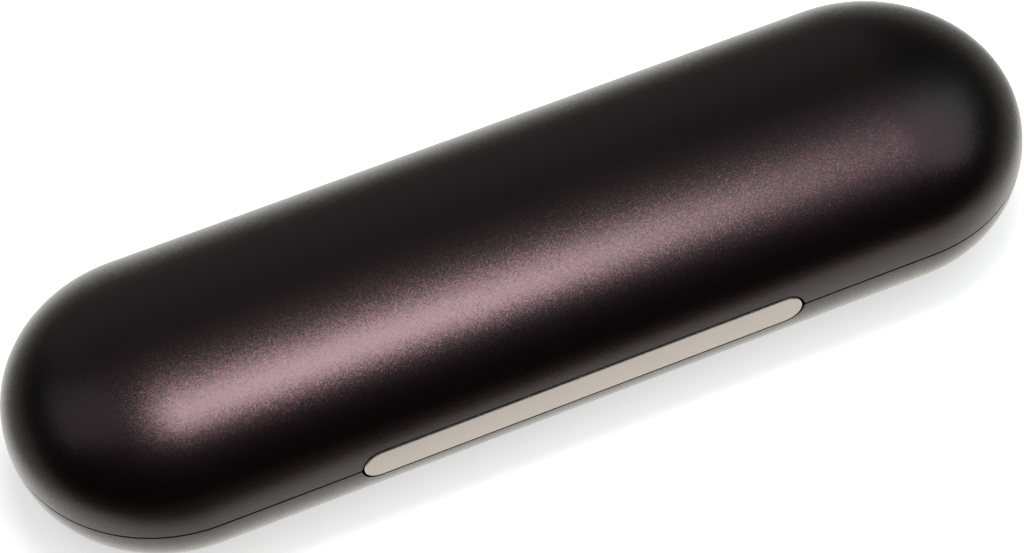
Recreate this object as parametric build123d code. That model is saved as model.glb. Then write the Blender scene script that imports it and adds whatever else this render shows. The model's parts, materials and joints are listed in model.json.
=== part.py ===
from build123d import *
import math
import os

# Travel case for an electric toothbrush: a capsule-shaped clamshell that lies flat. The lid turns on two pin
# hinges at the back, and a long sprung push bar in the front edge draws two hooks back to free it. A moulded
# tray in the base holds the brush handle and two spare heads.
# Millimetres. X runs along the case, -Y is the front with the push bar, +Z is up. Every piece is drawn about
# the seam plane (z = 0 there) and lifted at the end, so that the case rests on z = 0.

# ---- outer body ----
CASE_LENGTH = 240.0  # end to end
LID_HALF_WIDTH = 35.5  # at the seam; also the radius of the ends in plan
LID_RISE = 23.0  # seam to crown
LID_POWER_ACROSS = 2.0  # the section is |y / half width|^across + |z / reach|^up = 1
LID_POWER_UP = 2.7
BASE_INSET = 0.15  # the base stands in from the lid, all round the seam
BASE_REACH = 22.4  # depth at which the base's section would close
BASE_DEPTH = 21.6  # seam to the flat underside
BASE_POWER_ACROSS = 3.1
BASE_POWER_UP = 1.92
WALL = 2.2
SEAM_GAP = 0.4
RIM_ROUND = 0.25
RUN_GAP = 0.3  # between pieces that move past each other
FIT_GAP = 0.2  # between pieces that are fitted together
PROFILE_SPANS = 12  # points along each section curve

# ---- anti-slip pad under the base ----
PAD_LENGTH = 150.0
PAD_WIDTH = 18.0
PAD_SEAT = 0.8  # depth of its recess
PAD_PROUD = 0.4

# ---- push bar and its slot ----
SLOT_LENGTH = 104.6
SLOT_HEIGHT = 9.3
SLOT_DROP = 0.1  # slot's centre line below the seam
SLOT_GAP = 0.5  # round the bar
SLOT_CORNER = 0.9  # round where the seam runs into the slot
SLOT_CLEAR = 6.0  # how far the slot's cutter reaches past the seam and past each end
BAR_THICKNESS = 2.0
BAR_EDGE_ROUND = 0.4
BAR_TRAVEL = 1.8
SHELF_THICKNESS = 1.25  # rear shelf of the bar, which lies on the slider
SHELF_ABOVE_SLOT = 0.3  # shelf's underside above the slot's lower edge

# ---- latch ----
SLIDER_DEPTH = 3.8  # front to back
SLIDER_HEIGHT = 3.8
SLIDER_LENGTH = 96.0
SLIDER_SETBACK = 5.1  # its front face behind the case's front
HOOK_SPACING = 48.0
HOOK_WIDTH = 7.0
HOOK_THICKNESS = 1.7
BARB_BITE = 1.0  # overlap of barb and strike plate
BARB_HEIGHT = 2.0
STRIKE_THICKNESS = 1.2
STRIKE_WIDTH = 19.0
STRIKE_LIP = 1.6  # band of the strike plate below its window
STRIKE_TOP_BAND = 0.9
STRIKE_SETBACK = 6.5  # its inner face behind the case's front
HOUSING_WALL = 1.2
HOUSING_EAR = 8.0  # length of each ear
SPRING_SPACING = 76.0
SPRING_RADIUS = 1.3  # to the middle of the wire
SPRING_WIRE = 0.36
SPRING_TURNS = 5
SPRING_END_GAP = 0.02  # between the wire and what it bears on
SPRING_SEAT_DEPTH = 2.8
SPIGOT_LENGTH = 0.6  # on the housing, inside each spring
SCREW_BESIDE_SPRING = 4.5  # bar's outer screws, inward from the springs
EAR_SCREW_BEHIND = 1.0  # housing's screws behind the middle of the channel
HOOK_LEAD = 0.6  # flat height of the barb's tip, below its slope

# ---- hinges ----
HINGE_X = 45.0  # middle of each hinge from the middle of the case
KNUCKLE_RADIUS = 2.0
PIN_SHORT = 0.1  # pin's end inside the knuckle's face
LID_KNUCKLE_LENGTH = 8.0
BASE_KNUCKLE_LENGTH = 6.7
HINGE_OUTSET = 0.05  # axis outside the base's rear face
GUSSET_HEIGHT = 6.5
PIN_RADIUS = 0.8
PIN_CLEARANCE = 0.05

# ---- tray ----
TRAY_WALL = 1.6
DECK_DROP = 1.3  # deck's top below the seam
LIP_RISE = 2.0  # locating lip above the seam
LIP_THICKNESS = 1.3
LIP_CHAMFER = 0.5
HANDLE_DIAMETER = 28.4  # widest handle that the case is made for
SADDLE_THICKNESS = 1.0
SADDLE_WIDTH = 12.0
TROUGH_BACK_MARGIN = 4.3  # trough's wall to the base's inner wall
TROUGH_END_MARGIN = 20.8  # ends of the trough to the ends of the case
TROUGH_END_ROUND = 6.0
NECK_RADIUS = 5.6  # round the drive shaft
NECK_LENGTH = 22.0
SHOULDER_LENGTH = 18.0
WELL_DEPTH = 12.7  # below the deck's top
WELL_END_MARGIN = 42.0  # outer ends of the head wells to the ends of the case
WELL_PARTING = 8.0  # between the two wells
WELL_CORNER = 5.0
WELL_FLOOR_ROUND = 2.5
REST_THICKNESS = 2.0  # rib that carries a spare head's neck
REST_HEIGHT = 6.0
REST_NOTCH_RADIUS = 4.5
REST_FROM_END = 28.1  # rib's middle from the well's outer end

# ---- lid liner ----
LINER_WALL = 1.4
LINER_GAP = 0.3  # to the lid
LINER_RIM = 2.5  # above the seam
LINER_NOTCH_WIDTH = 23.0
LINER_NOTCH_TOP = 12.0
LINER_NOTCH_CORNER = 1.5
LINER_SCREW_SEAT = 0.45  # depth left of the liner under a screw's head
CUSHION_LENGTH = 34.0
CUSHION_WIDTH = 15.0
CUSHION_GAP = 0.4  # above the handle
CUSHION_CORNER = 3.0
SUPPORT_INSET = 31.2  # saddles and cushions, from the ends of the handle's barrel

# ---- screws ----
TRAY_SCREW = dict(shank=1.0, length=7.0, head=1.9, head_height=1.2)
SMALL_SCREW = dict(shank=0.8, length=3.0, head=1.5, head_height=0.8)
SCREW_FIT = 0.05  # radial, between shank and pilot hole
HOLE_FREE = 0.25  # radial, in the piece that the screw passes through
BOSS_RADIUS = 2.6
TRAY_BOSS_IN = 28.0  # front pair, inward from the ends of the case
TRAY_BOSS_FRONT = 17.0
TRAY_BOSS_END = 13.0  # end pair, inward from the ends of the case
TRAY_BOSS_REAR = 8.0

# ---- worked out from the above ----
SEAM_HEIGHT = PAD_PROUD + BASE_DEPTH
END_X = CASE_LENGTH / 2 - LID_HALF_WIDTH
BASE_HALF_WIDTH = LID_HALF_WIDTH - BASE_INSET
BASE_SECTION = (BASE_HALF_WIDTH, BASE_REACH, BASE_POWER_ACROSS, BASE_POWER_UP)
BASE_CAVITY = (BASE_HALF_WIDTH - WALL, BASE_REACH - WALL, BASE_POWER_ACROSS, BASE_POWER_UP)
LID_SECTION = (LID_HALF_WIDTH, LID_RISE, LID_POWER_ACROSS, LID_POWER_UP)
LID_CAVITY = (LID_HALF_WIDTH - WALL, LID_RISE - WALL, LID_POWER_ACROSS, LID_POWER_UP)
LINER_OUTSIDE = tuple(size - LINER_GAP for size in LID_CAVITY[:2]) + LID_CAVITY[2:]
LINER_INSIDE = tuple(size - LINER_WALL for size in LINER_OUTSIDE[:2]) + LID_CAVITY[2:]
FRONT_Y = -LID_HALF_WIDTH
RIM = SEAM_GAP / 2

SLOT_TOP = SLOT_HEIGHT / 2 - SLOT_DROP
SLOT_BOTTOM = -SLOT_HEIGHT / 2 - SLOT_DROP
BAR_LENGTH = SLOT_LENGTH - 2 * SLOT_GAP
BAR_TOP = SLOT_TOP - SLOT_GAP
BAR_BOTTOM = SLOT_BOTTOM + SLOT_GAP
BAR_BACK_Y = FRONT_Y + BAR_THICKNESS
SHELF_BOTTOM = SLOT_BOTTOM + SHELF_ABOVE_SLOT
SHELF_TOP = SHELF_BOTTOM + SHELF_THICKNESS

DECK_TOP = -DECK_DROP
DECK_BOTTOM = DECK_TOP - TRAY_WALL
SLIDER_FRONT_Y = FRONT_Y + SLIDER_SETBACK
SLIDER_BACK_Y = SLIDER_FRONT_Y + SLIDER_DEPTH
SLIDER_BOTTOM = SHELF_BOTTOM - SLIDER_HEIGHT
HOUSING_BACK_Y = SLIDER_BACK_Y + BAR_TRAVEL + RUN_GAP
HOUSING_FLOOR_TOP = SLIDER_BOTTOM - RUN_GAP
HOUSING_FLOOR_BOTTOM = HOUSING_FLOOR_TOP - HOUSING_WALL
HOUSING_HALF = SLIDER_LENGTH / 2 + RUN_GAP
EAR_SCREW_X = HOUSING_HALF + HOUSING_WALL + HOUSING_EAR / 2
EAR_SCREW_Y = (SLIDER_FRONT_Y + HOUSING_BACK_Y) / 2 + EAR_SCREW_BEHIND

STRIKE_FACE_Y = FRONT_Y + STRIKE_SETBACK
STRIKE_BACK_Y = STRIKE_FACE_Y - STRIKE_THICKNESS
STRIKE_BOTTOM = SLOT_TOP + RUN_GAP
BARB_BOTTOM = STRIKE_BOTTOM + STRIKE_LIP + RUN_GAP
HOOK_TOP = BARB_BOTTOM + BARB_HEIGHT
WINDOW_TOP = HOOK_TOP + RUN_GAP
STRIKE_TOP = WINDOW_TOP + STRIKE_TOP_BAND
HOOK_BACK_Y = SLIDER_BACK_Y
HOOK_FRONT_Y = HOOK_BACK_Y - HOOK_THICKNESS
BARB_TIP_Y = STRIKE_FACE_Y - BARB_BITE
WINDOW_WIDTH = HOOK_WIDTH + 4 * RUN_GAP

HINGE_Y = BASE_HALF_WIDTH + HINGE_OUTSET
PIN_HOLE_RADIUS = PIN_RADIUS + PIN_CLEARANCE
POCKET_RADIUS = KNUCKLE_RADIUS + RUN_GAP
HINGE_HALF = LID_KNUCKLE_LENGTH / 2 + RUN_GAP + BASE_KNUCKLE_LENGTH

TROUGH_RADIUS = HANDLE_DIAMETER / 2 + SADDLE_THICKNESS
TROUGH_Y = BASE_HALF_WIDTH - WALL - TROUGH_BACK_MARGIN - TRAY_WALL - TROUGH_RADIUS
TROUGH_LEFT = -CASE_LENGTH / 2 + TROUGH_END_MARGIN
TROUGH_RIGHT = CASE_LENGTH / 2 - TROUGH_END_MARGIN
SHOULDER_X = TROUGH_RIGHT - NECK_LENGTH - SHOULDER_LENGTH
WELL_FRONT_Y = HOUSING_BACK_Y + HOUSING_WALL + FIT_GAP + TRAY_WALL
WELL_BACK_Y = TROUGH_Y - TROUGH_RADIUS - TRAY_WALL
WELL_OUTER_X = CASE_LENGTH / 2 - WELL_END_MARGIN
WELL_WIDTH = WELL_BACK_Y - WELL_FRONT_Y
WELL_CORNER_USED = min(WELL_CORNER, 0.45 * WELL_WIDTH)
SUPPORT_LEFT = TROUGH_LEFT + SUPPORT_INSET
SUPPORT_RIGHT = SHOULDER_X - SUPPORT_INSET
CORNER_SCREWS = [
    (side * (CASE_LENGTH / 2 - inward), y)
    for side in (-1, 1)
    for inward, y in ((TRAY_BOSS_IN, -TRAY_BOSS_FRONT), (TRAY_BOSS_END, TRAY_BOSS_REAR))
]
BOTH = (-1, 1)


def midway(section):
    """The section in the middle of the wall."""
    return (section[0] - WALL / 2, section[1] - WALL / 2, *section[2:])


def half_width_at(height, section):
    """Half width of a section at a height above or below the seam."""
    half_width, reach, across, up = section
    return half_width * (1 - (abs(height) / reach) ** up) ** (1 / across)


def section_points(section, height, far_height):
    """Points along a section curve, from one height to a greater one, and its directions at both ends."""
    half_width, reach, across, up = section
    first = math.asin((height / reach) ** (up / 2))
    last = math.asin((far_height / reach) ** (up / 2))
    points = []
    for step in range(PROFILE_SPANS + 1):
        turn = first + (last - first) * step / PROFILE_SPANS
        r = half_width * max(math.cos(turn), 0.0) ** (2 / across)
        points.append((0.0 if r < 1e-6 else r, reach * math.sin(turn) ** (2 / up)))
    ends = []
    for r, z in (points[0], points[-1]):
        outward = (across * r ** (across - 1) / half_width**across, up * z ** (up - 1) / reach**up)
        length = math.hypot(*outward)
        ends.append((-outward[1] / length, outward[0] / length))
    return points, ends


def section_curve(section, height, far_height, side):
    """A section curve as a spline in the plane of a half section; side is 1 above the seam and -1 below."""
    points, ends = section_points(section, height, far_height)
    return Spline(*[(r, side * z) for r, z in points], tangents=[(r, side * z) for r, z in ends])


def capsule(outline):
    """A half section, drawn with the radius along x and height along y, carried round the stadium plan."""
    half = Rot(0, 0, -90) * (Plane.XZ * make_face(outline))
    front = extrude(half, amount=2 * END_X, dir=(1, 0, 0)).moved(Location((-END_X, 0, 0)))
    right = Pos(END_X, 0, 0) * revolve(half, axis=Axis.Z, revolution_arc=180)
    return front + Rot(0, 0, 180) * front + right + Rot(0, 0, 180) * right


def shell_wall(outside, inside, rim, outer_depth, inner_depth, side, rim_round):
    """A shell between two section curves, closed at the rim and, if it is cut flat, across the flat."""
    outer = section_curve(outside, rim + rim_round, outer_depth, side)
    inner = section_curve(inside, rim, inner_depth, side)
    edge = outer @ 0
    foot = (edge.X - rim_round, side * rim)
    lines = [outer, inner, Line(foot, inner @ 0)]
    if rim_round:
        inset = rim_round * (1 - math.sqrt(0.5))
        middle = (edge.X - inset, side * (rim + inset))
        lines.append(ThreePointArc(edge, middle, foot))
    crown_out = (0, side * outer_depth)
    crown_in = (0, side * inner_depth)
    lines.append(Line(crown_out, crown_in))
    if (outer @ 1).X > 1e-6:
        lines.append(Line(outer @ 1, crown_out))
    if (inner @ 1).X > 1e-6:
        lines.append(Line(inner @ 1, crown_in))
    return capsule(lines)


def filled(section, depth, side):
    """The solid inside a section curve, from the seam to a depth."""
    curve = section_curve(section, 0, depth, side)
    lines = [curve, Line((0, 0), curve @ 0), Line((0, 0), (0, side * depth))]
    if (curve @ 1).X > 1e-6:
        lines.append(Line(curve @ 1, (0, side * depth)))
    return capsule(lines)


def block(x, y, z):
    """A box between two values on each axis."""
    low, high = zip(x, y, z)
    size = [b - a for a, b in zip(low, high)]
    return Pos(*low) * Box(*size, align=(Align.MIN, Align.MIN, Align.MIN))


def upright(radius, low, high, x, y):
    """A vertical cylinder."""
    return Pos(x, y, low) * Cylinder(radius, high - low, align=(Align.CENTER, Align.CENTER, Align.MIN))


def along_x(radius, low, high, y, z):
    """A cylinder that lies along the case."""
    rod = Cylinder(radius, high - low, align=(Align.CENTER, Align.CENTER, Align.MIN))
    return Pos(low, y, z) * Rot(0, 90, 0) * rod


def along_y(radius, low, high, x, z):
    """A cylinder that runs front to back."""
    rod = Cylinder(radius, high - low, align=(Align.CENTER, Align.CENTER, Align.MIN))
    return Pos(x, low, z) * Rot(-90, 0, 0) * rod


def front_prism(sketch, low_y, high_y):
    """A shape drawn in x and z, and run front to back."""
    return Pos(0, high_y, 0) * extrude(Plane.XZ * sketch, amount=high_y - low_y)


def side_prism(outline, low_x, high_x):
    """A shape drawn in y and z, and run along the case."""
    face = Plane.YZ * make_face(Polyline(*outline, close=True))
    return Pos(low_x, 0, 0) * extrude(face, amount=high_x - low_x)


def deck_plate(radius, low, high):
    """A stadium plate round the case's end centres."""
    return Pos(0, 0, low) * extrude(SlotCenterToCenter(2 * END_X, 2 * radius), amount=high - low)


def screw(shank, length, head, head_height):
    """A cross-head screw that points down, with its head's underside at z = 0."""
    top = upright(head, 0, head_height, 0, 0)
    top = fillet(top.edges().group_by(Axis.Z)[-1], head_height * 0.4)
    drive = Box(head * 1.1, head * 0.3, head_height) + Box(head * 0.3, head * 1.1, head_height)
    stem = upright(shank, -length, 0, 0, 0)
    stem = chamfer(stem.edges().group_by(Axis.Z)[0], shank * 0.4)
    return top + stem - Pos(0, 0, head_height) * drive


def slot_cutter(side):
    """The push bar's slot and the space beyond one rim, with rounds where the rim runs into the slot."""
    slot = Pos(0, -SLOT_DROP) * SlotOverall(SLOT_LENGTH, SLOT_HEIGHT)
    away = Align.MAX if side > 0 else Align.MIN
    clear_size = (SLOT_LENGTH + 2 * SLOT_CLEAR, SLOT_HEIGHT + SLOT_CLEAR)
    beyond = Pos(0, side * RIM) * Rectangle(*clear_size, align=(Align.CENTER, away))
    shape = slot + beyond
    corners = [v for v in shape.vertices() if abs(v.Y - side * RIM) < 1e-3 and abs(v.X) < SLOT_LENGTH / 2]
    return front_prism(fillet(corners, SLOT_CORNER), FRONT_Y - WALL, FRONT_Y + 2 * WALL)


def knuckle(side, low_x, high_x):
    """A hinge knuckle with the gusset that ties it to its shell."""
    barrel = along_x(KNUCKLE_RADIUS, low_x, high_x, HINGE_Y, 0)
    inner_y = HINGE_Y - KNUCKLE_RADIUS
    outline = [
        (HINGE_Y + KNUCKLE_RADIUS, 0),
        (BASE_HALF_WIDTH - WALL / 4, side * GUSSET_HEIGHT),
        (BASE_HALF_WIDTH - WALL / 2, side * GUSSET_HEIGHT),
        (inner_y, 0),
    ]
    return barrel + side_prism(outline, low_x, high_x)


def knuckle_spans(centre):
    """Where the base's two knuckles and the lid's one lie along the case, for one hinge."""
    inner = LID_KNUCKLE_LENGTH / 2
    lid = (centre - inner, centre + inner)
    gap_end = inner + RUN_GAP
    base = [(centre - HINGE_HALF, centre - gap_end), (centre + gap_end, centre + HINGE_HALF)]
    return lid, base


def base_shell():
    """Lower shell, with its knuckles, screw bosses, push bar slot and the pad's recess."""
    shell = shell_wall(BASE_SECTION, BASE_CAVITY, RIM, BASE_DEPTH, BASE_DEPTH - WALL, -1, RIM_ROUND)
    within = filled(midway(BASE_SECTION), BASE_DEPTH - WALL / 2, -1)
    for x, y in CORNER_SCREWS:
        shell += upright(BOSS_RADIUS, -BASE_DEPTH, DECK_BOTTOM, x, y) & within
    for side in BOTH:
        boss = upright(BOSS_RADIUS, -BASE_DEPTH, HOUSING_FLOOR_BOTTOM, side * EAR_SCREW_X, EAR_SCREW_Y)
        shell += boss & within
    pilot = TRAY_SCREW["shank"] + SCREW_FIT
    for x, y in CORNER_SCREWS:
        shell -= upright(pilot, DECK_TOP - TRAY_SCREW["length"] - SCREW_FIT, DECK_TOP, x, y)
    small = SMALL_SCREW["shank"] + SCREW_FIT
    for side in BOTH:
        low = HOUSING_FLOOR_TOP - SMALL_SCREW["length"] - SCREW_FIT
        shell -= upright(small, low, HOUSING_FLOOR_TOP, side * EAR_SCREW_X, EAR_SCREW_Y)
    for side in BOTH:
        lid_span, base_spans = knuckle_spans(side * HINGE_X)
        shell -= along_x(POCKET_RADIUS, lid_span[0] - RUN_GAP, lid_span[1] + RUN_GAP, HINGE_Y, 0)
        for span in base_spans:
            shell += knuckle(-1, *span)
        ends = [side * HINGE_X + end * (HINGE_HALF + RUN_GAP) for end in BOTH]
        shell -= along_x(PIN_HOLE_RADIUS, *ends, HINGE_Y, 0)
    shell -= slot_cutter(-1)
    recess = extrude(SlotOverall(PAD_LENGTH + FIT_GAP, PAD_WIDTH + FIT_GAP), amount=PAD_SEAT)
    return shell - Pos(0, 0, -BASE_DEPTH) * recess


def base_pad():
    """Anti-slip pad in the underside."""
    pad = Pos(0, 0, -SEAM_HEIGHT) * extrude(SlotOverall(PAD_LENGTH, PAD_WIDTH), amount=PAD_SEAT + PAD_PROUD)
    return fillet(pad.edges().group_by(Axis.Z)[0], PAD_PROUD / 2)


def handle_space(extra):
    """What the handle and its drive shaft fill, grown all round by an allowance."""
    radius, neck = TROUGH_RADIUS + extra, NECK_RADIUS + extra
    left, right = TROUGH_LEFT - extra, TROUGH_RIGHT + extra
    round_out = TROUGH_END_ROUND + extra
    outline = [
        Line((left, 0), (left, radius - round_out)),
        RadiusArc((left, radius - round_out), (left + round_out, radius), round_out),
        Line((left + round_out, radius), (SHOULDER_X, radius)),
        Line((SHOULDER_X, radius), (SHOULDER_X + SHOULDER_LENGTH, neck)),
        Line((SHOULDER_X + SHOULDER_LENGTH, neck), (right, neck)),
        Line((right, neck), (right, 0)),
        Line((right, 0), (left, 0)),
    ]
    return Pos(0, TROUGH_Y, 0) * revolve(make_face(outline), axis=Axis.X)


def well(side, extra):
    """One spare head's well, grown all round by an allowance; the top is open."""
    low, high = sorted((side * (WELL_PARTING / 2 - extra), side * (WELL_OUTER_X + extra)))
    front, back = WELL_FRONT_Y - extra, WELL_BACK_Y + extra
    outline = RectangleRounded(high - low, back - front, WELL_CORNER_USED + extra)
    plan = Pos((low + high) / 2, (front + back) / 2) * outline
    bottom = DECK_TOP - WELL_DEPTH - extra
    top = DECK_TOP if extra else DECK_TOP + FIT_GAP
    solid = Pos(0, 0, bottom) * extrude(plan, amount=top - bottom)
    return fillet(solid.edges().group_by(Axis.Z)[0], WELL_FLOOR_ROUND + extra)


def neck_rest(side):
    """Rib across a well, notched for the neck of a spare head."""
    x = side * (WELL_OUTER_X - REST_FROM_END)
    floor = DECK_TOP - WELL_DEPTH
    rib = block(
        (x - REST_THICKNESS / 2, x + REST_THICKNESS / 2),
        (WELL_FRONT_Y - TRAY_WALL / 2, WELL_BACK_Y + TRAY_WALL / 2),
        (floor - TRAY_WALL / 2, floor + REST_HEIGHT),
    )
    notch_y = (WELL_FRONT_Y + WELL_BACK_Y) / 2
    ends = (x - REST_THICKNESS, x + REST_THICKNESS)
    return rib - along_x(REST_NOTCH_RADIUS, *ends, notch_y, floor + REST_HEIGHT)


def base_tray():
    """Moulded tray: deck, locating lip, handle trough and two head wells, open over the latch."""
    radius = half_width_at(DECK_BOTTOM, BASE_CAVITY) - FIT_GAP
    deck = deck_plate(radius, DECK_BOTTOM, DECK_TOP)
    lip = deck_plate(radius, DECK_BOTTOM, LIP_RISE)
    lip -= deck_plate(radius - LIP_THICKNESS, DECK_BOTTOM, LIP_RISE)
    lip = chamfer(lip.edges().group_by(Axis.Z)[-1], LIP_CHAMFER)
    below = block((-CASE_LENGTH, CASE_LENGTH), (-CASE_LENGTH, CASE_LENGTH), (-BASE_REACH, DECK_TOP))
    tray = deck + lip + (handle_space(TRAY_WALL) & below)
    for side in BOTH:
        tray += well(side, TRAY_WALL)
    tray -= handle_space(0)
    for side in BOTH:
        tray -= well(side, 0)
        tray += neck_rest(side)
    half_cut = SLOT_LENGTH / 2 + 2 * SLOT_GAP
    edge_y = BAR_BACK_Y + BAR_TRAVEL + RUN_GAP
    tray -= block((-half_cut, half_cut), (FRONT_Y, edge_y), (SHELF_TOP, LIP_RISE + FIT_GAP))
    tray -= block((-half_cut, half_cut), (FRONT_Y, edge_y + LIP_THICKNESS), (DECK_TOP, LIP_RISE + FIT_GAP))
    for side in BOTH:
        x = side * HOOK_SPACING / 2
        span = HOOK_WIDTH / 2 + 2 * RUN_GAP
        front, back = BARB_TIP_Y - RUN_GAP, HOOK_BACK_Y + BAR_TRAVEL + RUN_GAP
        tray -= block((x - span, x + span), (front, back), (DECK_BOTTOM - FIT_GAP, DECK_TOP + FIT_GAP))
    for x, y in CORNER_SCREWS:
        tray -= upright(TRAY_SCREW["shank"] + HOLE_FREE, DECK_BOTTOM - FIT_GAP, DECK_TOP + FIT_GAP, x, y)
    return tray


def tray_screws():
    """Four screws that hold the tray down."""
    return [Pos(x, y, DECK_TOP) * screw(**TRAY_SCREW) for x, y in CORNER_SCREWS]


def handle_saddle(centre):
    """Soft half ring that the handle lies in."""
    ring = along_x(TROUGH_RADIUS, centre - SADDLE_WIDTH / 2, centre + SADDLE_WIDTH / 2, TROUGH_Y, 0)
    bore = TROUGH_RADIUS - SADDLE_THICKNESS
    ring -= along_x(bore, centre - SADDLE_WIDTH, centre + SADDLE_WIDTH, TROUGH_Y, 0)
    return ring & block((-CASE_LENGTH, CASE_LENGTH), (FRONT_Y, -FRONT_Y), (-BASE_REACH, DECK_TOP))


def latch_housing():
    """Channel under the deck that the slider runs in, with two screwed ears."""
    front = SLIDER_FRONT_Y + HOUSING_WALL
    outer = HOUSING_HALF + HOUSING_WALL
    ear = outer + HOUSING_EAR
    back = HOUSING_BACK_Y + HOUSING_WALL
    body = block((-ear, ear), (front, back), (HOUSING_FLOOR_BOTTOM, HOUSING_FLOOR_TOP))
    body += block((-outer, outer), (HOUSING_BACK_Y, back), (HOUSING_FLOOR_BOTTOM, DECK_BOTTOM))
    for side in BOTH:
        span = sorted((side * HOUSING_HALF, side * outer))
        body += block(span, (front, back), (HOUSING_FLOOR_BOTTOM, DECK_BOTTOM))
        x = side * SPRING_SPACING / 2
        z = SHELF_BOTTOM - SLIDER_HEIGHT / 2
        spigot = SPRING_RADIUS - SPRING_WIRE / 2 - RUN_GAP / 2
        body += along_y(spigot, HOUSING_BACK_Y - SPIGOT_LENGTH, back, x, z)
        span = (HOUSING_FLOOR_BOTTOM - RUN_GAP, HOUSING_FLOOR_TOP + RUN_GAP)
        body -= upright(SMALL_SCREW["shank"] + HOLE_FREE, *span, side * EAR_SCREW_X, EAR_SCREW_Y)
    return body


def latch_housing_screws():
    """Two screws through the housing's ears."""
    return [Pos(side * EAR_SCREW_X, EAR_SCREW_Y, HOUSING_FLOOR_TOP) * screw(**SMALL_SCREW) for side in BOTH]


def button_bar():
    """Push bar: face flush with the shells, and a rear shelf that lies on the slider."""
    top_y = -half_width_at(BAR_TOP, LID_SECTION)
    bottom_y = -half_width_at(BAR_BOTTOM, BASE_SECTION)
    above, below = BAR_TOP + SLOT_GAP, BAR_BOTTOM - SLOT_GAP
    face = ThreePointArc((top_y, above), (FRONT_Y, SLOT_DROP / 2), (bottom_y, below))
    rest = Polyline(face @ 1, (BAR_BACK_Y, below), (BAR_BACK_Y, above), face @ 0)
    bar = Pos(-SLOT_LENGTH, 0, 0) * extrude(Plane.YZ * make_face([face, rest]), amount=2 * SLOT_LENGTH)
    outline = Pos(0, -SLOT_DROP) * SlotOverall(BAR_LENGTH, SLOT_HEIGHT - 2 * SLOT_GAP)
    bar &= front_prism(outline, FRONT_Y - WALL, BAR_BACK_Y)
    front = [e for e in bar.edges() if e.center().Y < (FRONT_Y + BAR_BACK_Y) / 2]
    bar = fillet(front, BAR_EDGE_ROUND)
    half = SLIDER_LENGTH / 2
    bar += block((-half, half), (BAR_BACK_Y, SLIDER_BACK_Y), (SHELF_BOTTOM, SHELF_TOP))
    for side in BOTH:
        x = side * HOOK_SPACING / 2
        span = HOOK_WIDTH / 2 + FIT_GAP
        notch_y = (HOOK_FRONT_Y - FIT_GAP, SLIDER_BACK_Y + FIT_GAP)
        bar -= block((x - span, x + span), notch_y, (SHELF_BOTTOM - FIT_GAP, SHELF_TOP + FIT_GAP))
    head_plane = SHELF_TOP - SMALL_SCREW["head_height"]
    for x in bar_screw_places():
        place = (x, bar_screw_y())
        bar -= upright(SMALL_SCREW["shank"] + HOLE_FREE, SHELF_BOTTOM - FIT_GAP, SHELF_TOP, *place)
        bar -= upright(SMALL_SCREW["head"] + FIT_GAP, head_plane, SHELF_TOP + FIT_GAP, *place)
    return bar


def bar_screw_places():
    """Along the case: beside the springs and in the middle."""
    outer = SPRING_SPACING / 2 - SCREW_BESIDE_SPRING
    return [-outer, 0.0, outer]


def bar_screw_y():
    """Front to back: the middle of the slider."""
    return (SLIDER_FRONT_Y + SLIDER_BACK_Y) / 2


def latch_slider():
    """Slider with two hooks whose barbs hold the strike plates down, and seats for the springs."""
    half = SLIDER_LENGTH / 2
    body = block((-half, half), (SLIDER_FRONT_Y, SLIDER_BACK_Y), (SLIDER_BOTTOM, SHELF_BOTTOM))
    hook = [
        (HOOK_BACK_Y, SLIDER_BOTTOM),
        (HOOK_BACK_Y, HOOK_TOP),
        (HOOK_FRONT_Y, HOOK_TOP),
        (BARB_TIP_Y, BARB_BOTTOM + HOOK_LEAD),
        (BARB_TIP_Y, BARB_BOTTOM),
        (HOOK_FRONT_Y, BARB_BOTTOM),
        (HOOK_FRONT_Y, SLIDER_BOTTOM),
    ]
    for side in BOTH:
        x = side * HOOK_SPACING / 2
        body += side_prism(hook, x - HOOK_WIDTH / 2, x + HOOK_WIDTH / 2)
        z = SHELF_BOTTOM - SLIDER_HEIGHT / 2
        seat = SPRING_RADIUS + SPRING_WIRE / 2 + FIT_GAP / 2
        depth = (SLIDER_BACK_Y - SPRING_SEAT_DEPTH, SLIDER_BACK_Y + FIT_GAP)
        body -= along_y(seat, *depth, side * SPRING_SPACING / 2, z)
    tip = SHELF_TOP - SMALL_SCREW["head_height"] - SMALL_SCREW["length"]
    for x in bar_screw_places():
        span = (tip - SCREW_FIT, SHELF_BOTTOM + SCREW_FIT)
        body -= upright(SMALL_SCREW["shank"] + SCREW_FIT, *span, x, bar_screw_y())
    return body


def slider_screws():
    """Three screws that hold the bar's shelf to the slider."""
    place = SHELF_TOP - SMALL_SCREW["head_height"]
    return [Pos(x, bar_screw_y(), place) * screw(**SMALL_SCREW) for x in bar_screw_places()]


def return_spring(side):
    """Coil spring between the slider's seat and the housing."""
    seat_y = SLIDER_BACK_Y - SPRING_SEAT_DEPTH
    length = HOUSING_BACK_Y - seat_y
    rise = length - SPRING_WIRE - 2 * SPRING_END_GAP
    path = Helix(pitch=rise / SPRING_TURNS, height=rise, radius=SPRING_RADIUS)
    wire = sweep(Plane(path @ 0, z_dir=path % 0) * Circle(SPRING_WIRE / 2), path=path, is_frenet=True)
    first_y = seat_y + SPRING_WIRE / 2 + SPRING_END_GAP
    place = Pos(side * SPRING_SPACING / 2, first_y, SHELF_BOTTOM - SLIDER_HEIGHT / 2)
    return place * Rot(-90, 0, 0) * wire


def hinge_pin(side):
    """Steel pin through one hinge's knuckles."""
    centre = side * HINGE_X
    half = HINGE_HALF - PIN_SHORT
    pin = along_x(PIN_RADIUS, centre - half, centre + half, HINGE_Y, 0)
    return chamfer(pin.edges().filter_by(GeomType.CIRCLE), PIN_RADIUS / 4)


def strike_lands():
    """Where the strike plates' screws go, along the case."""
    inset = (STRIKE_WIDTH + WINDOW_WIDTH) / 4
    return [side * HOOK_SPACING / 2 + end * inset for side in BOTH for end in BOTH]


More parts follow.
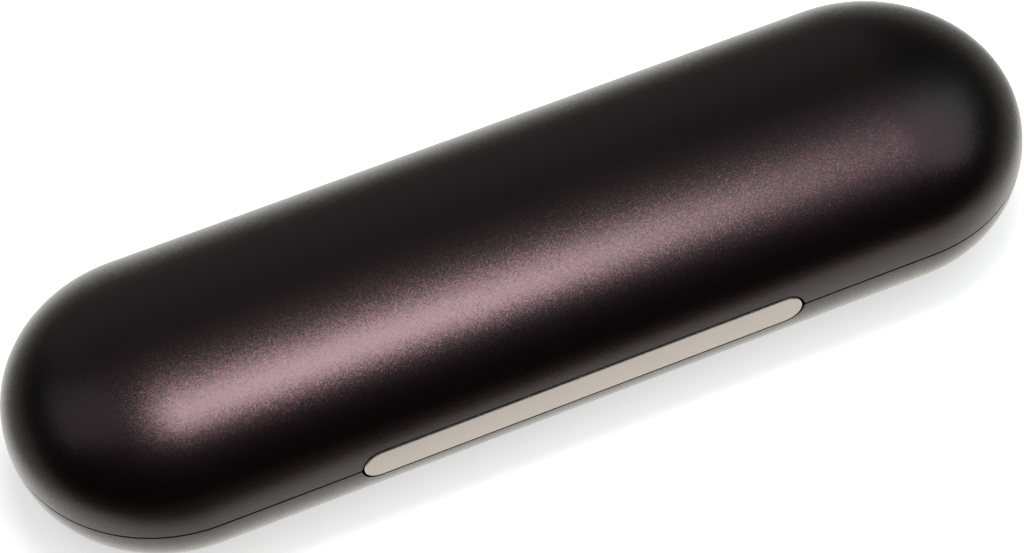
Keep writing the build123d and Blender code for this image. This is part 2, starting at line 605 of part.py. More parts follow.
def strike_screw_z():
    """Height of the strike plates' screws."""
    return (STRIKE_BOTTOM + STRIKE_TOP) / 2


def liner_screw_z():
    """Height of the liner's rear screws, in the lid's hinge gussets."""
    return LINER_RIM + SMALL_SCREW["head"] + 2 * FIT_GAP


def liner_screw_y():
    """Plane that the heads of the liner's screws bear on."""
    return half_width_at(liner_screw_z(), LINER_OUTSIDE) - LINER_SCREW_SEAT


def lid_shell():
    """Upper shell, with its knuckles, push bar slot and the lands for the strike plates."""
    shell = shell_wall(LID_SECTION, LID_CAVITY, RIM, LID_RISE, LID_RISE - WALL, 1, RIM_ROUND)
    within = filled(midway(LID_SECTION), LID_RISE - WALL / 2, 1)
    land_half = (STRIKE_WIDTH - WINDOW_WIDTH) / 4
    for x in strike_lands():
        land = block((x - land_half, x + land_half), (FRONT_Y, STRIKE_BACK_Y), (STRIKE_BOTTOM, STRIKE_TOP))
        shell += land & within
        low = STRIKE_FACE_Y - SMALL_SCREW["length"] - SCREW_FIT
        shell -= along_y(SMALL_SCREW["shank"] + SCREW_FIT, low, STRIKE_FACE_Y, x, strike_screw_z())
    for side in BOTH:
        centre = side * HINGE_X
        lid_span, base_spans = knuckle_spans(centre)
        for low, high in base_spans:
            shell -= along_x(POCKET_RADIUS, low - RUN_GAP, high + RUN_GAP, HINGE_Y, 0)
        shell += knuckle(1, *lid_span)
        shell -= along_x(PIN_HOLE_RADIUS, lid_span[0] - RUN_GAP, lid_span[1] + RUN_GAP, HINGE_Y, 0)
        high = liner_screw_y() + SMALL_SCREW["length"] + SCREW_FIT
        shell -= along_y(SMALL_SCREW["shank"] + SCREW_FIT, liner_screw_y(), high, centre, liner_screw_z())
    return shell - slot_cutter(1)


def lid_liner():
    """Thin inner skin of the lid, notched over the push bar and round the strike plates."""
    crown_out, crown_in = LINER_OUTSIDE[1], LINER_INSIDE[1]
    liner = shell_wall(LINER_OUTSIDE, LINER_INSIDE, LINER_RIM, crown_out, crown_in, 1, 0)
    depth = (FRONT_Y, STRIKE_FACE_Y + LID_HALF_WIDTH / 2)
    half_cut = SLOT_LENGTH / 2 + 2 * SLOT_GAP
    notch = Pos(0, STRIKE_BOTTOM) * Rectangle(2 * half_cut, STRIKE_BOTTOM, align=(Align.CENTER, Align.MAX))
    for side in BOTH:
        window = Rectangle(LINER_NOTCH_WIDTH, LINER_NOTCH_TOP, align=(Align.CENTER, Align.MIN))
        notch += Pos(side * HOOK_SPACING / 2, 0) * window
    corners = [v for v in notch.vertices() if v.Y > 0]
    liner -= front_prism(fillet(corners, LINER_NOTCH_CORNER), *depth)
    for side in BOTH:
        x = side * HINGE_X
        liner -= along_y(SMALL_SCREW["shank"] + HOLE_FREE, 0, HINGE_Y, x, liner_screw_z())
        liner -= along_y(SMALL_SCREW["head"] + FIT_GAP, 0, liner_screw_y(), x, liner_screw_z())
    return liner


def liner_screws():
    """Two screws that hold the liner to the lid's rear wall."""
    place = [Pos(side * HINGE_X, liner_screw_y(), liner_screw_z()) for side in BOTH]
    return [at * Rot(90, 0, 0) * screw(**SMALL_SCREW) for at in place]


def strike_plate(side):
    """Plate with the window that a hook's barb catches in."""
    x = side * HOOK_SPACING / 2
    outer = (x - STRIKE_WIDTH / 2, x + STRIKE_WIDTH / 2)
    window = (x - WINDOW_WIDTH / 2, x + WINDOW_WIDTH / 2)
    through = (STRIKE_BACK_Y - FIT_GAP, STRIKE_FACE_Y + FIT_GAP)
    plate = block(outer, (STRIKE_BACK_Y, STRIKE_FACE_Y), (STRIKE_BOTTOM, STRIKE_TOP))
    plate -= block(window, through, (STRIKE_BOTTOM + STRIKE_LIP, WINDOW_TOP))
    for place in strike_lands():
        plate -= along_y(SMALL_SCREW["shank"] + HOLE_FREE, *through, place, strike_screw_z())
    return plate


def strike_screws():
    """Four screws that hold the strike plates to the lid."""
    place = [Pos(x, STRIKE_FACE_Y, strike_screw_z()) for x in strike_lands()]
    return [at * Rot(-90, 0, 0) * screw(**SMALL_SCREW) for at in place]


def lid_cushion(centre):
    """Soft pad on the liner that steadies the handle."""
    low = HANDLE_DIAMETER / 2 + CUSHION_GAP
    x = (centre - CUSHION_LENGTH / 2, centre + CUSHION_LENGTH / 2)
    y = (TROUGH_Y - CUSHION_WIDTH / 2, TROUGH_Y + CUSHION_WIDTH / 2)
    pad = block(x, y, (low, LID_RISE))
    pad = fillet(pad.edges().filter_by(Axis.Z), CUSHION_CORNER)
    return pad & filled(LINER_INSIDE, LINER_INSIDE[1], 1)


def save(node, shape):
    """Write one node, lifted from the seam plane to its place above the rest plane."""
    if isinstance(shape, list):
        shape = Compound(children=shape)
    export_step(Pos(0, 0, SEAM_HEIGHT) * shape, f"parts/{node}.step")


os.makedirs("parts", exist_ok=True)
save("base_shell", base_shell())
save("base_pad", base_pad())
save("base_tray", base_tray())
save("tray_screws", tray_screws())
for name, side, support in (("left", -1, SUPPORT_LEFT), ("right", 1, SUPPORT_RIGHT)):
    save(f"handle_saddle_{name}", handle_saddle(support))
    save(f"hinge_pin_{name}", hinge_pin(side))
    save(f"return_spring_{name}", return_spring(side))
    save(f"strike_plate_{name}", strike_plate(side))
    save(f"lid_cushion_{name}", lid_cushion(support))
save("latch_housing", latch_housing())
save("latch_housing_screws", latch_housing_screws())
save("button_bar", button_bar())
save("latch_slider", latch_slider())
save("slider_screws", slider_screws())
save("lid_shell", lid_shell())
save("lid_liner", lid_liner())
save("liner_screws", liner_screws())
save("strike_screws", strike_screws())
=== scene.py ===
import bmesh
import bpy
import json
import math
from mathutils import Matrix, Vector


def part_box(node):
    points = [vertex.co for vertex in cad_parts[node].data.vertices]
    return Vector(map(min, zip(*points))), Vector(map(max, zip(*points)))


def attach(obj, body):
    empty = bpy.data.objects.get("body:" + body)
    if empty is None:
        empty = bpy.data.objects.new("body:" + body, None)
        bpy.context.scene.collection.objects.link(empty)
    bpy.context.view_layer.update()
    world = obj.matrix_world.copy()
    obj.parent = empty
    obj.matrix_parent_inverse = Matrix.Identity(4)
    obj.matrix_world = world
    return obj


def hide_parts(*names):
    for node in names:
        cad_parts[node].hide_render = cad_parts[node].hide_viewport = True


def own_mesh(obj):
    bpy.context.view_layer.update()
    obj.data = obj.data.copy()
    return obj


# Looks of the toothbrush travel case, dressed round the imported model. Metres, in the model's own frame: X along
# the case, -Y the front with the push bar, +Z up, and the case rests on z = 0.

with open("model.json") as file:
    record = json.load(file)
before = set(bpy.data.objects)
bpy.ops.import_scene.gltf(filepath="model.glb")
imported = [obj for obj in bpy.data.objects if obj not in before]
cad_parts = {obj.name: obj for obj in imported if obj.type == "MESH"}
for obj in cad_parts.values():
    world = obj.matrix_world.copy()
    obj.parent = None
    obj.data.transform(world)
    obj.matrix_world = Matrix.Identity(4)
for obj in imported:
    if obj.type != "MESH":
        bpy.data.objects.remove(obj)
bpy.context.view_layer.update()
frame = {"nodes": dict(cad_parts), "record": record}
nodes = frame["nodes"]

# ---- the case, as the model has it: half width, reach from the seam, power across and power up ----
SEAM_HEIGHT = 0.022
END_X = 0.0845  # centres of the round ends
LID_SECTION = (0.0355, 0.023, 2.0, 2.7)
BASE_SECTION = (0.03535, 0.0224, 3.1, 1.92)
LINER_SECTION = (0.0316, 0.0191, 2.0, 2.7)  # inside of the lid's liner

# ---- camera ----
CAMERA_AZIMUTH = math.radians(-19.31)
CAMERA_ELEVATION = math.radians(52.088)
CAMERA_ROLL = math.radians(-4.901)
CAMERA_DISTANCE = 0.8117
FOCAL_PIXELS = 3656.5
IMAGE_WIDTH = 1024
SENSOR_WIDTH = 36.0
SHIFT_X = -0.00993
SHIFT_Y = -0.00656

# ---- lights: radiance of each box, its size, its place and what it faces ----
KEY = dict(radiance=10.2, size=(0.295, 0.215), place=(0.04, -0.005, 0.66), target=(0.04, -0.005, 0.0))
RIGHT = dict(radiance=0.9, size=(0.40, 0.30), place=(0.3913, -0.02, 0.44), target=(0.06, 0.0, 0.02))
LEFT = dict(radiance=0.41, size=(0.30, 0.30), place=(-0.355, 0.13, 0.42), target=(-0.06, 0.0, 0.02))
FILL = dict(radiance=1.85, size=(1.2, 1.2), place=(0.0, -0.6, 1.15), target=(0.0, 0.0, 0.0))
BACK = dict(radiance=0.2025, size=(1.6, 0.7), place=(0.0, 1.3, 0.83), target=(0.0, 0.0, 0.0))
COOL_WHITE = (0.84, 0.98, 1.0)
ROSE_WHITE = (1.0, 0.86, 0.955)
WORLD_RADIANCE = 0.03

# ---- studio sweep ----
SWEEP_RADIUS = 5.0
SWEEP_HEIGHT = 1.3
SWEEP_CURVE = 0.8  # radius of the bend from the floor into the wall
SWEEP_STEPS = 8
SWEEP_SIDES = 96
FLOOR_ALBEDO = 0.8
FLOOR_GLOW = 0.57  # added to the lit floor, as the camera meets it
GLOW_EDGE = (0.5, 2.0)  # distances over which the glow rises to white, out of the lamps' reach
# As gloss meets the floor, it is a white board that darkens over each of these edges.
BOARD_TINT = (1.0, 0.975, 0.92)
BOARD_DIRECTION = (-0.26673, -0.96377, 0.0)  # to the front, and a little left
BOARD_EDGE = (0.07, 0.115)  # distances in that direction
BOARD_DARK = 0.11
END_EDGE = (0.14, 0.185)  # distances along the case's length
END_DIM = 0.4325
FAR_EDGE = (0.15, 0.60)  # distances all round
FAR_DIM = 0.65
WALL_DIM = 0.05  # at the top of the wall


class Tree:
    """Shorthand for a material's node tree."""

    def __init__(self, name):
        self.material = bpy.data.materials.new(name)
        self.material.use_nodes = True
        self.tree = self.material.node_tree
        self.tree.nodes.clear()

    def put(self, socket, value):
        if isinstance(value, bpy.types.NodeSocket):
            self.tree.links.new(value, socket)
        elif socket.type == "RGBA" and len(value) == 3:
            socket.default_value = (*value, 1.0)
        else:
            socket.default_value = value

    def add(self, kind, inputs=None, **settings):
        node = self.tree.nodes.new(kind)
        for name, value in settings.items():
            setattr(node, name, value)
        for key, value in (inputs or {}).items():
            self.put(node.inputs[key], value)
        return node

    def math(self, operation, *values):
        return self.add("ShaderNodeMath", dict(enumerate(values)), operation=operation).outputs[0]

    def blend(self, first, share, second, other_share):
        """Sum of two values, each times its share."""
        return self.math("ADD", self.math("MULTIPLY", first, share), self.math("MULTIPLY", second, other_share))

    def hypotenuse(self, first, second):
        squares = [self.math("POWER", side, 2.0) for side in (first, second)]
        return self.math("SQRT", self.math("ADD", *squares))

    def vector(self, operation, *values):
        node = self.add("ShaderNodeVectorMath", dict(enumerate(values)), operation=operation)
        return node.outputs["Value" if operation in ("DOT_PRODUCT", "LENGTH") else "Vector"]

    def scaled(self, vector, factor):
        node = self.add("ShaderNodeVectorMath", {"Vector": vector, "Scale": factor}, operation="SCALE")
        return node.outputs["Vector"]

    def axes(self, vector):
        return self.add("ShaderNodeSeparateXYZ", {"Vector": vector}).outputs

    def span(self, value, low, high, to_low=0.0, to_high=1.0):
        sockets = {"Value": value, "From Min": low, "From Max": high, "To Min": to_low, "To Max": to_high}
        return self.add("ShaderNodeMapRange", sockets, interpolation_type="SMOOTHSTEP").outputs["Result"]

    # The mix node tells its sockets of one name apart by their number alone.
    def mix(self, factor, first, second):
        return self.add("ShaderNodeMix", {0: factor, 6: first, 7: second}, data_type="RGBA").outputs[2]

    def mix_vector(self, factor, first, second):
        return self.add("ShaderNodeMix", {0: factor, 4: first, 5: second}, data_type="VECTOR").outputs[1]

    def place(self):
        return self.add("ShaderNodeTexCoord").outputs["Object"]

    def noise(self, scale, detail, vector):
        sockets = {"Vector": vector, "Scale": scale, "Detail": detail}
        return self.add("ShaderNodeTexNoise", sockets).outputs["Fac"]

    def cells(self, scale, vector, output="Color"):
        return self.add("ShaderNodeTexVoronoi", {"Vector": vector, "Scale": scale}).outputs[output]

    def bump(self, height, strength, distance):
        sockets = {"Height": height, "Strength": strength, "Distance": distance}
        return self.add("ShaderNodeBump", sockets).outputs["Normal"]

    def surface(self, **sockets):
        shader = self.add("ShaderNodeBsdfPrincipled")
        for name, value in sockets.items():
            self.put(shader.inputs[name.replace("_", " ")], value)
        self.show(shader.outputs[0])
        return self.material

    def show(self, shader):
        output = self.add("ShaderNodeOutputMaterial")
        self.tree.links.new(shader, output.inputs["Surface"])


# ---- materials: scales are cells in a metre, and bumps are deep in metres ----
NOISE_RANGE = (0.3, 0.7)  # a noise texture mostly keeps between these values
SURFACE_SLACK = 0.02  # how far off its formula the outer surface may be
FACING_OUT = 0.95  # least cosine between a face of it and the formula's normal


def true_normal(t, section, side):
    """A shell's outer surface: its normal from its own formula, and 1 there but 0 on every other face."""
    half_width, reach, across, up = section
    axes = t.axes(t.place())
    nearest = t.math("MINIMUM", t.math("MAXIMUM", axes[0], -END_X), END_X)
    along = t.math("SUBTRACT", axes[0], nearest)
    radius = t.hypotenuse(along, axes[1])
    height = t.math("MULTIPLY", t.math("SUBTRACT", axes[2], SEAM_HEIGHT), float(side))
    height = t.math("MAXIMUM", height, 0.0)
    part_out = t.math("POWER", t.math("DIVIDE", radius, half_width), across)
    part_up = t.math("POWER", t.math("DIVIDE", height, reach), up)
    lean = t.math("MULTIPLY", t.math("POWER", radius, across - 2.0), across / half_width**across)
    rise = t.math("MULTIPLY", t.math("POWER", height, up - 1.0), side * up / reach**up)
    outward = t.add("ShaderNodeCombineXYZ", {
        "X": t.math("MULTIPLY", along, lean),
        "Y": t.math("MULTIPLY", axes[1], lean),
        "Z": rise,
    }).outputs[0]
    turned = t.add("ShaderNodeVectorTransform", {"Vector": outward},
                   vector_type="NORMAL", convert_from="OBJECT", convert_to="WORLD").outputs[0]
    formula = t.vector("NORMALIZE", turned)
    geometry = t.add("ShaderNodeNewGeometry").outputs
    facing = t.vector("DOT_PRODUCT", formula, geometry["True Normal"])
    off = t.math("ABSOLUTE", t.math("SUBTRACT", t.math("ADD", part_out, part_up), 1.0))
    outside = t.math("MULTIPLY", t.math("LESS_THAN", off, SURFACE_SLACK), t.math("GREATER_THAN", facing, FACING_OUT))
    return t.vector("NORMALIZE", t.mix_vector(outside, geometry["Normal"], formula)), outside


FLAKE_SCALE = 4400.0  # flakes in a metre
FINE_FLAKE_SCALE = 3080.0  # cells that give each flake its own tone
FLAKE_TILT = 0.15
MAUVE = ((0.03528, 0.01421, 0.01933), (0.07252, 0.02956, 0.03865))  # darkest and lightest flakes
FLOP = (0.08, 0.34)  # facing values over which the mauve turns to near black
NEAR_BLACK = (0.027, 0.02, 0.0186)
UNPAINTED = (0.012, 0.011, 0.011)


def lacquer(name, section, side):
    """Near-black satin lacquer over fine mauve flakes, on the outer surface alone."""
    t = Tree(name)
    place = t.place()
    smooth, outside = true_normal(t, section, side)
    flakes = t.cells(FLAKE_SCALE, place)
    tilt = t.scaled(t.vector("SUBTRACT", flakes, (0.5, 0.5, 0.5)), FLAKE_TILT)
    sparkle = t.vector("NORMALIZE", t.vector("ADD", smooth, tilt))
    spread = t.noise(28.0, 3.0, place)
    fine = t.add("ShaderNodeSeparateColor", {"Color": t.cells(FINE_FLAKE_SCALE, place)}).outputs[0]
    mauve = t.mix(t.blend(fine, 0.41, spread, 0.30), *MAUVE)
    facing = t.add("ShaderNodeLayerWeight", {"Blend": 0.5, "Normal": smooth}).outputs["Facing"]
    colour = t.mix(t.span(facing, *FLOP), mauve, NEAR_BLACK)
    return t.surface(
        Base_Color=t.mix(outside, UNPAINTED, colour), Metallic=1.0,
        Roughness=t.span(spread, *NOISE_RANGE, 0.28, 0.30), Normal=sparkle,
        Specular_Tint=(1.0, 1.0, 1.0), Coat_Weight=1.0, Coat_IOR=1.44, Coat_Roughness=0.31, Coat_Normal=smooth,
    )


BAR_BODY = ((0.575, 0.530, 0.495), (0.615, 0.566, 0.537))
# colour of the painted highlight along the bar's rounded edge
BAR_EDGE_HIGHLIGHT = (0.72, 0.68, 0.64)
BAR_HIGHLIGHT_RIM = (0.00045, 0.00015)  # distances in from the bar's outline over which the colour lightens into a painted highlight


def bar_finish():
    """Champagne metallised plastic with a bead-blasted grain, its colour lightened along the rounded edge as a
    painted highlight.
    """
    t = Tree("champagne_satin")
    place = t.place()
    low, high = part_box("button_bar")
    middle, half = (low + high) / 2, (high - low) / 2
    axes = t.axes(t.vector("SUBTRACT", place, tuple(middle)))
    past = t.math("MAXIMUM", t.math("SUBTRACT", t.math("ABSOLUTE", axes[0]), half[0] - half[2]), 0.0)
    edge_highlight = t.span(t.math("SUBTRACT", half[2], t.hypotenuse(past, axes[2])), *BAR_HIGHLIGHT_RIM)
    grain = t.noise(5200.0, 2.0, place)
    body = t.mix(t.noise(60.0, 2.0, place), *BAR_BODY)
    return t.surface(
        # the base colour turns lighter near the outline: a painted highlight that stands for the rounded edge's
        # reflection
        Base_Color=t.mix(edge_highlight, body, BAR_EDGE_HIGHLIGHT), Metallic=1.0,
        Roughness=t.span(grain, *NOISE_RANGE, 0.38, 0.48), Normal=t.bump(grain, 0.12, 0.00004),
    )


def moulded(name, colours, scale, depth, rough):
    """Plastic with the fine pitted texture of an eroded mould, and a slow change of tone."""
    t = Tree(name)
    place = t.place()
    pits = t.cells(scale, place, "Distance")
    grain = t.noise(scale * 0.7, 3.0, place)
    worn = t.blend(t.noise(35.0, 3.0, place), 0.7, grain, 0.3)
    return t.surface(
        Base_Color=t.mix(worn, *colours),
        Roughness=t.span(worn, *NOISE_RANGE, *rough),
        Normal=t.bump(t.blend(pits, 0.6, grain, 0.8), 0.35, depth),
        Specular_IOR_Level=0.45,
    )


def silicone():
    """Matt silicone rubber with a faint bloom."""
    t = Tree("matt_silicone")
    place = t.place()
    bloom = t.noise(140.0, 4.0, place)
    return t.surface(
        Base_Color=t.mix(bloom, (0.115, 0.108, 0.112), (0.165, 0.157, 0.162)),
        Roughness=t.span(bloom, *NOISE_RANGE, 0.58, 0.72),
        Normal=t.bump(t.noise(4200.0, 2.0, place), 0.25, 0.00005),
        Sheen_Weight=0.15,
        Sheen_Roughness=0.5,
    )


def steel(name, colours, rough, streak):
    """Drawn or plated steel: streaks along one axis, fine scuffs and a little cloudiness."""
    t = Tree(name)
    place = t.place()
    lines = t.noise(1.0, 3.0, t.vector("MULTIPLY", place, streak))
    mottle = t.blend(lines, 0.6, t.noise(700.0, 3.0, place), 0.4)
    return t.surface(
        Base_Color=t.mix(mottle, *colours), Metallic=1.0,
        Roughness=t.span(mottle, *NOISE_RANGE, *rough), Normal=t.bump(lines, 0.15, 0.00003),
    )


SLOTS = {
    "bar_finish": bar_finish(),
    "tray_plastic": moulded("tray_charcoal", ((0.056, 0.054, 0.058), (0.080, 0.077, 0.082)),
                            2600.0, 0.00008, (0.46, 0.60)),
    "latch_plastic": moulded("latch_black", ((0.020, 0.020, 0.022), (0.034, 0.034, 0.036)),
                             3800.0, 0.00004, (0.32, 0.44)),
    "soft_silicone": silicone(),
    "bright_steel": steel("bright_steel", ((0.55, 0.55, 0.56), (0.68, 0.68, 0.69)), (0.20, 0.34),
                          (300.0, 9000.0, 9000.0)),
    "screw_steel": steel("plated_steel", ((0.36, 0.36, 0.38), (0.50, 0.50, 0.51)), (0.26, 0.42),
                         (4000.0, 4000.0, 900.0)),
}
SHELLS = {
    "lid_shell": lacquer("lid_lacquer", LID_SECTION, 1),
    "base_shell": lacquer("base_lacquer", BASE_SECTION, -1),
}


def dress_nodes():
    """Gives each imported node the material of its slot, and each shell its own lacquer."""
    for row in frame["record"]["subparts"]:
        piece = nodes[row["node"]]
        piece.data.materials.clear()
        piece.data.materials.append(SHELLS.get(row["node"]) or SLOTS[row["material_slot"]])


# ---- meshes ----
def solid(name, vertices, faces):
    """A smooth-shaded mesh object with outward normals."""
    mesh = bpy.data.meshes.new(name)
    mesh.from_pydata([tuple(v) for v in vertices], [], faces)
    shape = bmesh.new()
    shape.from_mesh(mesh)
    bmesh.ops.recalc_face_normals(shape, faces=shape.faces)
    shape.to_mesh(mesh)
    shape.free()
    mesh.shade_smooth()
    piece = bpy.data.objects.new(name, mesh)
    bpy.context.scene.collection.objects.link(piece)
    return piece


def fan(pole, first, sides):
    """Faces from one vertex to the ring that starts at this first one."""
    return [(pole, first + step, first + (step + 1) % sides) for step in range(sides)]


def bands(first, rings, sides):
    """Faces between rings of vertices that follow each other, from this first vertex on."""
    faces = []
    for ring in range(rings - 1):
        for step in range(sides):
            beside = (step + 1) % sides
            a, b = first + ring * sides, first + (ring + 1) * sides
            faces.append((a + step, b + step, b + beside, a + beside))
    return faces


# ---- return springs ----
SPRING_RADIUS = 0.0013
SPRING_WIRE = 0.00018  # radius of the wire
SPRING_TURNS = 6.5
SPRING_CLOSED = 0.75  # turns that lie flat at each end
TURN_STEPS = 36
WIRE_SIDES = 12


def spring_path(x, z, low_y, high_y):
    """Helix whose last turns at both ends lie flat against each other."""
    steps = int(SPRING_TURNS * TURN_STEPS)
    flat = SPRING_CLOSED / SPRING_TURNS
    closed_rise = 2 * SPRING_WIRE * SPRING_TURNS  # of the whole winding, if all its turns lay flat
    open_rise = (high_y - low_y) - 2 * flat * closed_rise
    points = []
    for step in range(steps + 1):
        share = step / steps
        closed = min(share, flat) + min(max(share - (1 - flat), 0.0), flat)
        opened = min(max(share - flat, 0.0), 1 - 2 * flat) / (1 - 2 * flat)
        rise = closed * closed_rise + opened * open_rise
        turn = 2 * math.pi * SPRING_TURNS * share
        points.append(Vector((x + SPRING_RADIUS * math.cos(turn), low_y + rise,
                              z + SPRING_RADIUS * math.sin(turn))))
    return points


def wire(name, path):
    """A round wire wound about an axis along Y, closed at both ends."""
    coil_axis = Vector((0.0, 1.0, 0.0))
    vertices = []
    for index, point in enumerate(path):
        ahead = path[min(index + 1, len(path) - 1)] - path[max(index - 1, 0)]
        across = ahead.cross(coil_axis).normalized()
        second = across.cross(ahead).normalized()
        for step in range(WIRE_SIDES):
            turn = 2 * math.pi * step / WIRE_SIDES
            vertices.append(point + SPRING_WIRE * (math.cos(turn) * across + math.sin(turn) * second))
    faces = bands(0, len(path), WIRE_SIDES)
    faces.append(tuple(range(WIRE_SIDES)))
    faces.append(tuple(reversed(range(len(vertices) - WIRE_SIDES, len(vertices)))))
    return solid(name, vertices, faces)


def return_springs():
    """Springs wound as drawn wire, in the places of the model's springs, on the base."""
    for name in ("return_spring_left", "return_spring_right"):
        low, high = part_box(name)
        x, z = (low[0] + high[0]) / 2, (low[2] + high[2]) / 2
        piece = wire(name + "_wire", spring_path(x, z, low[1] + SPRING_WIRE, high[1] - SPRING_WIRE))
        piece.data.materials.append(SLOTS["bright_steel"])
        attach(piece, "base")
        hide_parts(name)
        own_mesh(piece)


# ---- lid cushions ----
CUSHION_SQUARENESS = 7.0
CUSHION_PULL = (0.025, 0.05)  # how far the ends and the long sides pull in between the corners
CUSHION_CROWN = 0.0009  # the underside's middle below its edge
CROWN_POWER = 2.5
CUSHION_GLUE = 0.00002
CUSHION_TURNS = 96
# share of the outline and of the height, from the middle of the underside to the middle of the glued face
CUSHION_RINGS = ((0.20, 0.0), (0.40, 0.0), (0.58, 0.0), (0.72, 0.0), (0.82, 0.005), (0.89, 0.03), (0.94, 0.08),
                 (0.975, 0.18), (0.995, 0.33), (1.0, 0.5), (0.995, 0.7), (0.98, 0.88), (0.965, 1.0), (0.8, 1.0),
                 (0.6, 1.0), (0.4, 1.0), (0.2, 1.0))


def liner_height(y):
    """Underside of the liner's crown at this distance from the middle."""
    half_width, reach, across, up = LINER_SECTION
    return SEAM_HEIGHT + reach * (1 - (abs(y) / half_width)**across)**(1 / up)


def cushion_point(low, high, turn, share, lift):
    """A point of the pad: by its direction, its share of the outline and its share of the height."""
    cosine, sine = math.cos(turn), math.sin(turn)
    out = math.copysign(abs(cosine)**(2 / CUSHION_SQUARENESS), cosine)
    side = math.copysign(abs(sine)**(2 / CUSHION_SQUARENESS), sine)
    middle, half = (low + high) / 2, (high - low) / 2
    x = middle[0] + half[0] * share * out * (1 - CUSHION_PULL[0] * (1 - side * side))
    y = middle[1] + half[1] * share * side * (1 - CUSHION_PULL[1] * (1 - out * out))
    under = low[2] + CUSHION_CROWN * share**CROWN_POWER
    return Vector((x, y, under + (liner_height(y) - CUSHION_GLUE - under) * lift))


def cushions():
    """Soft pads glued under the lid's liner, crowned towards the handle that they hold."""
    for name in ("lid_cushion_left", "lid_cushion_right"):
        low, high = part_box(name)
        vertices = [cushion_point(low, high, 0.0, 0.0, 0.0)]
        for share, lift in CUSHION_RINGS:
            for step in range(CUSHION_TURNS):
                turn = 2 * math.pi * step / CUSHION_TURNS
                vertices.append(cushion_point(low, high, turn, share, lift))
        last = len(vertices)
        vertices.append(cushion_point(low, high, 0.0, 0.0, 1.0))
        faces = fan(0, 1, CUSHION_TURNS) + bands(1, len(CUSHION_RINGS), CUSHION_TURNS)
        faces += fan(last, last - CUSHION_TURNS, CUSHION_TURNS)
        piece = solid(name + "_pad", vertices, faces)
        piece.data.materials.append(SLOTS["soft_silicone"])
        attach(piece, "lid")
        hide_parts(name)


# ---- studio ----
def make_camera():
    """The photograph's own viewpoint."""
    a, e = CAMERA_AZIMUTH, CAMERA_ELEVATION
    back = Vector((math.sin(a) * math.cos(e), -math.cos(a) * math.cos(e), math.sin(e)))
    level = Vector((0, 0, 1)).cross(back).normalized()
    rise = back.cross(level)
    right = math.cos(CAMERA_ROLL) * level + math.sin(CAMERA_ROLL) * rise
    up = math.cos(CAMERA_ROLL) * rise - math.sin(CAMERA_ROLL) * level
    place = Vector((0, 0, SEAM_HEIGHT)) + back * CAMERA_DISTANCE
    data = bpy.data.cameras.new("camera")
    data.sensor_width = SENSOR_WIDTH
    data.lens = FOCAL_PIXELS / IMAGE_WIDTH * SENSOR_WIDTH
    data.shift_x, data.shift_y = SHIFT_X, SHIFT_Y
    camera = bpy.data.objects.new("camera", data)
    bpy.context.scene.collection.objects.link(camera)
    turn = Matrix((right, up, back)).transposed()
    camera.matrix_world = Matrix.Translation(place) @ turn.to_4x4()
    bpy.context.scene.camera = camera


def soft_box(name, radiance, size, place, target, colour=(1.0, 1.0, 1.0), in_gloss=True):
    """A rectangular light of even radiance."""
    data = bpy.data.lights.new(name, "AREA")
    data.shape = "RECTANGLE"
    data.size, data.size_y = size
    data.energy = radiance * math.pi * size[0] * size[1]
    data.color = colour
    lamp = bpy.data.objects.new(name, data)
    bpy.context.scene.collection.objects.link(lamp)
    lamp.location = place
    lamp.rotation_mode = "QUATERNION"
    lamp.rotation_quaternion = (Vector(target) - Vector(place)).to_track_quat("-Z", "Y")
    lamp.visible_camera = False
    lamp.visible_glossy = in_gloss


def make_world():
    """A dim, even room."""
    world = bpy.data.worlds.new("room")
    world.use_nodes = True
    background = world.node_tree.nodes["Background"]
    background.inputs["Color"].default_value = (WORLD_RADIANCE, WORLD_RADIANCE, WORLD_RADIANCE, 1.0)
    bpy.context.scene.world = world


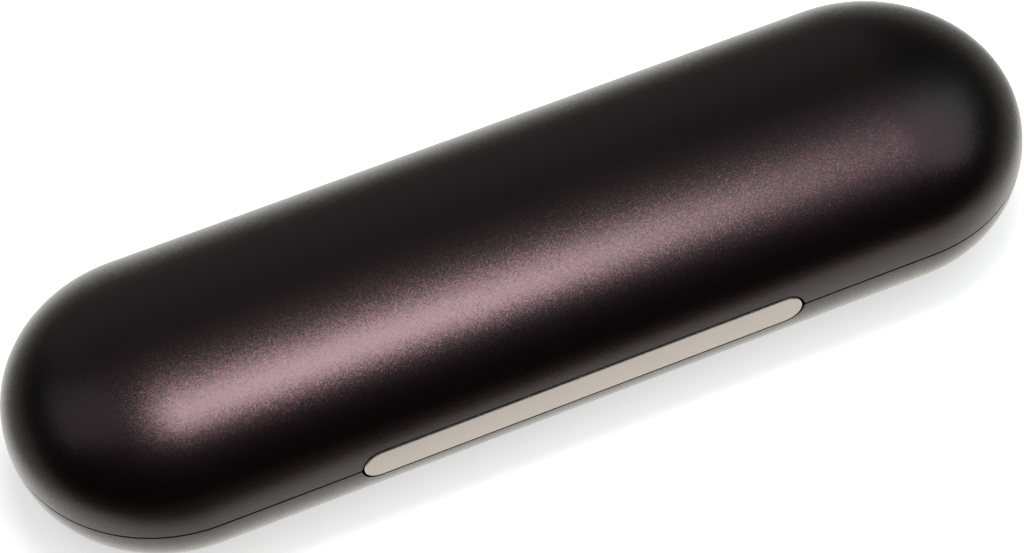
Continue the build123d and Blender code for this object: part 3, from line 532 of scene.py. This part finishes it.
def sweep_material():
    """White board: lit, shadowed and glowing for the camera, and for gloss white as far as its edges."""
    t = Tree("white_sweep")
    rays = t.add("ShaderNodeLightPath").outputs
    place = t.add("ShaderNodeNewGeometry").outputs["Position"]
    distance = t.vector("LENGTH", place)
    axes = t.axes(place)
    lit = t.add("ShaderNodeBsdfDiffuse", {"Color": (FLOOR_ALBEDO,) * 3}).outputs[0]
    bare = t.span(distance, *GLOW_EDGE, FLOOR_GLOW, 1.0)
    glow = t.add("ShaderNodeEmission", {"Strength": t.math("MULTIPLY", rays["Is Camera Ray"], bare)})
    seen = t.add("ShaderNodeAddShader", {0: lit, 1: glow.outputs[0]}).outputs[0]
    board = t.span(t.vector("DOT_PRODUCT", place, BOARD_DIRECTION), *BOARD_EDGE, 1.0, BOARD_DARK)
    ends = t.span(t.math("ABSOLUTE", axes[0]), *END_EDGE, 1.0, END_DIM)
    wall = t.span(axes[2], 0.0, SWEEP_HEIGHT, 1.0, WALL_DIM)
    away = t.span(distance, *FAR_EDGE, 1.0, FAR_DIM)
    strength = t.math("MULTIPLY", t.math("MULTIPLY", board, ends), t.math("MULTIPLY", wall, away))
    mirrored = t.add("ShaderNodeEmission", {"Color": BOARD_TINT, "Strength": strength}).outputs[0]
    sharp = t.math("MAXIMUM", rays["Is Glossy Ray"], rays["Is Transmission Ray"])
    t.show(t.add("ShaderNodeMixShader", {0: sharp, 1: seen, 2: mirrored}).outputs[0])
    return t.material


def make_sweep():
    """Round floor that curves up into a low wall, far outside every view."""
    flat = SWEEP_RADIUS - SWEEP_CURVE
    profile = [(flat, 0.0)]
    for step in range(1, SWEEP_STEPS + 1):
        turn = math.pi / 2 * step / SWEEP_STEPS
        profile.append((flat + SWEEP_CURVE * math.sin(turn), SWEEP_CURVE * (1 - math.cos(turn))))
    profile.append((SWEEP_RADIUS, SWEEP_HEIGHT))
    vertices = [(0.0, 0.0, 0.0)]
    for radius, height in profile:
        for step in range(SWEEP_SIDES):
            turn = 2 * math.pi * step / SWEEP_SIDES
            vertices.append((radius * math.cos(turn), radius * math.sin(turn), height))
    sweep = solid("sweep", vertices, fan(0, 1, SWEEP_SIDES) + bands(1, len(profile), SWEEP_SIDES))
    sweep.data.materials.append(sweep_material())


dress_nodes()
return_springs()
cushions()
make_camera()
soft_box("key", **KEY)
soft_box("right", **RIGHT, colour=COOL_WHITE)
soft_box("left", **LEFT, colour=COOL_WHITE)
soft_box("fill", **FILL, in_gloss=False)
soft_box("back", **BACK, colour=ROSE_WHITE)
make_world()
make_sweep()
bpy.context.scene.view_settings.view_transform = "Standard"
